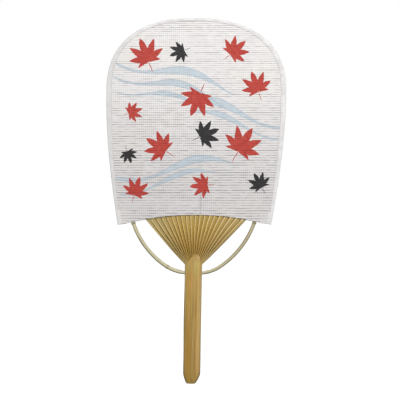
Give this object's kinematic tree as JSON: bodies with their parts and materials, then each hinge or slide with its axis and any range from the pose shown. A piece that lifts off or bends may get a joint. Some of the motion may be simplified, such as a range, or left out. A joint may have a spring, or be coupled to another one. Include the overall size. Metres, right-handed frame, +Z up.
{
  "type": "uchiwa fan",
  "caption": "Flat-handled uchiwa fan: split bamboo ribs and bow, laced with thread, covered with white cloth and bound at the rim.",
  "frame": {"origin": "middle of the grip on the handle, in the middle plane of the face", "axes": "+Z up along the handle to the top of the face, -Y towards the printed front, +X to the right seen from the front"},
  "size_m": [0.228, 0.0084, 0.465],
  "materials": {
    "handle_bamboo": "bare shaved bamboo, smooth from handling",
    "rib_bamboo": "split bamboo, straight fibres",
    "bow_bamboo": "peeled thin bamboo, paler and greyer",
    "thread": "twisted brown cotton thread",
    "cloth": "open plain weave with thick and thin weft, printed on the front",
    "binding": "smooth white strip, pasted"
  },
  "bodies": {
    "root": {"handle": "handle_bamboo", "bow": "bow_bamboo", "rib_01": "rib_bamboo", "rib_02": "rib_bamboo", "rib_03": "rib_bamboo", "rib_04": "rib_bamboo", "rib_05": "rib_bamboo", "rib_06": "rib_bamboo", "rib_07": "rib_bamboo", "rib_08": "rib_bamboo", "rib_09": "rib_bamboo", "rib_10": "rib_bamboo", "rib_11": "rib_bamboo", "rib_12": "rib_bamboo", "rib_13": "rib_bamboo", "rib_14": "rib_bamboo", "rib_15": "rib_bamboo", "rib_16": "rib_bamboo", "rib_17": "rib_bamboo", "rib_18": "rib_bamboo", "rib_19": "rib_bamboo", "rib_20": "rib_bamboo", "lacing_thread": "thread", "front_cloth": "cloth", "back_cloth": "cloth", "rim_binding": "binding", "left_ear": "binding", "right_ear": "binding"}
  },
  "joints": []
}
